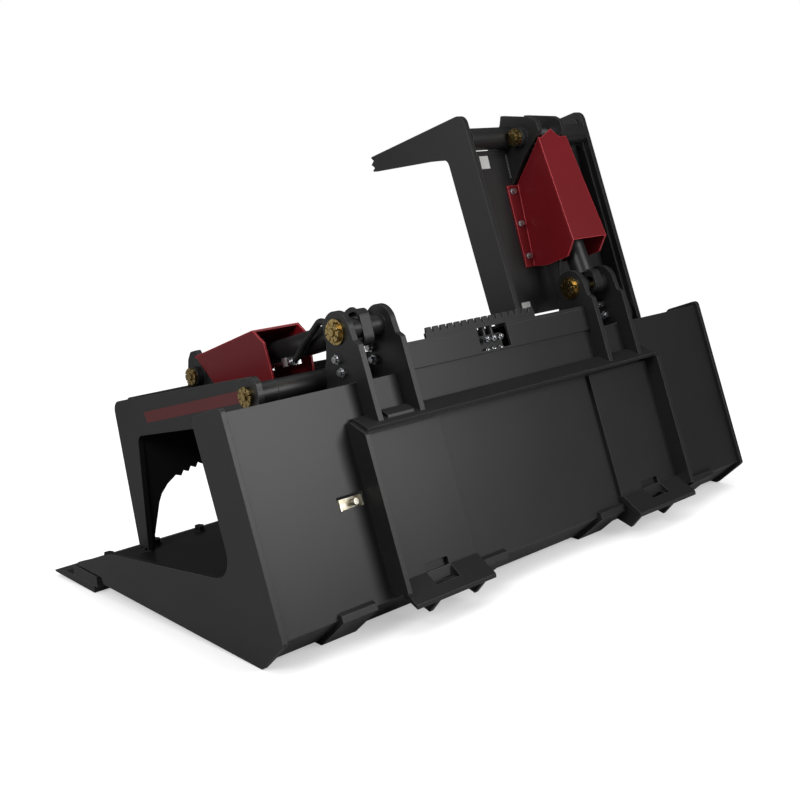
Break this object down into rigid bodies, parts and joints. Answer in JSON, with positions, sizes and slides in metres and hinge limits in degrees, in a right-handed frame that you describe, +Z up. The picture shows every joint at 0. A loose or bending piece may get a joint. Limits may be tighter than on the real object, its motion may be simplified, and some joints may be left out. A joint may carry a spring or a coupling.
{
  "type": "scrap grapple bucket",
  "caption": "Loader scrap bucket with two independent hinged grapples, hydraulic cylinders under bent guards and a quick-attach back.",
  "frame": {"origin": "centre of the footprint at the ground, under the bucket", "axes": "+X across the bucket to its left end, seen from behind; -Y forward to the blade; +Z up"},
  "size_m": [1.829, 1.1312, 1.1982],
  "materials": {
    "black_paint": "satin",
    "edge_steel": "satin",
    "guard_red": "satin",
    "gold_zinc": "satin",
    "chrome": "gloss",
    "zinc": "satin",
    "rubber": "matte",
    "bare_plate": "satin"
  },
  "bodies": {
    "bucket": {"side_plate_left": "black_paint", "side_plate_right": "black_paint", "floor_plate": "black_paint", "heel_plate": "black_paint", "back_plate": "black_paint", "box_rear": "black_paint", "box_top": "black_paint", "box_front": "black_paint", "grip_strip": "black_paint", "base_edge": "black_paint", "cutting_blade": "edge_steel", "edge_bolts": "edge_steel", "edge_washers": "edge_steel", "skid_bars": "black_paint", "coupler_plates": "black_paint", "coupler_flanges": "black_paint", "coupler_top_bar": "black_paint", "top_bar_tab": "black_paint", "lower_lips": "black_paint", "lip_gussets": "black_paint", "slot_bracket": "bare_plate", "brackets_left": "black_paint", "brackets_right": "black_paint", "hinge_tubes": "black_paint", "hinge_pins": "gold_zinc", "base_pins": "gold_zinc", "fittings": "zinc", "manifold": "zinc"},
    "grapple_left": {"tine_outer_left": "black_paint", "tine_inner_left": "black_paint", "doublers_left": "black_paint", "top_sheet_left": "black_paint", "front_sheet_left": "black_paint", "corner_tube_left": "black_paint", "rod_lugs_left": "black_paint", "hinge_bosses_left": "black_paint", "guard_left": "guard_red", "guard_bolts_left": "zinc", "rod_pin_left": "gold_zinc"},
    "grapple_right": {"tine_outer_right": "black_paint", "tine_inner_right": "black_paint", "doublers_right": "black_paint", "top_sheet_right": "black_paint", "front_sheet_right": "black_paint", "corner_tube_right": "black_paint", "rod_lugs_right": "black_paint", "hinge_bosses_right": "black_paint", "guard_right": "guard_red", "guard_bolts_right": "zinc", "rod_pin_right": "gold_zinc"},
    "barrel_left": {"hose_left": "rubber", "barrel_left": "black_paint", "barrel_line_left": "zinc", "gland_left": "black_paint"},
    "rod_left": {"rod_left": "chrome"},
    "barrel_right": {"hose_right": "rubber", "barrel_right": "black_paint", "barrel_line_right": "zinc", "gland_right": "black_paint"},
    "rod_right": {"rod_right": "chrome"}
  },
  "joints": [
    {"name": "grapple_left_hinge", "type": "hinge", "parent": "bucket", "child": "grapple_left", "pos_m": [0.465, 0.20983, 0.56403], "axis": [-1, 0, 0], "range_deg": [0, 83.7]},
    {"name": "rod_left_hinge", "type": "hinge", "parent": "grapple_left", "child": "rod_left", "pos_m": [0.4425, -0.3633, 0.524], "axis": [-1, 0, 0], "range_deg": [-4.41, 0]},
    {"name": "barrel_left_slide", "type": "slide", "parent": "rod_left", "child": "barrel_left", "axis": [0, 0.9685, 0.2491], "range_m": [-0.1945, 0]},
    {"name": "grapple_right_hinge", "type": "hinge", "parent": "bucket", "child": "grapple_right", "pos_m": [-0.465, 0.20983, 0.56403], "axis": [-1, 0, 0], "range_deg": [-83.7, 0], "deforming": ["hose_right"]},
    {"name": "rod_right_hinge", "type": "hinge", "parent": "grapple_right", "child": "rod_right", "pos_m": [-0.4425, 0.10714, 1.12931], "axis": [-1, 0, 0], "range_deg": [-0.69, 0]},
    {"name": "barrel_right_slide", "type": "slide", "parent": "rod_right", "child": "barrel_right", "axis": [0, 0.3795, -0.9252], "range_m": [0, 0.2015]}
  ],
  "couplings": [
    {"joint": "rod_left_hinge", "follows": "grapple_left_hinge", "ratio": -0.0524},
    {"joint": "barrel_left_slide", "follows": "grapple_left_hinge", "m_per_rad": -0.13278},
    {"joint": "rod_right_hinge", "follows": "grapple_right_hinge", "ratio": 0.008},
    {"joint": "barrel_right_slide", "follows": "grapple_right_hinge", "m_per_rad": -0.13761}
  ]
}
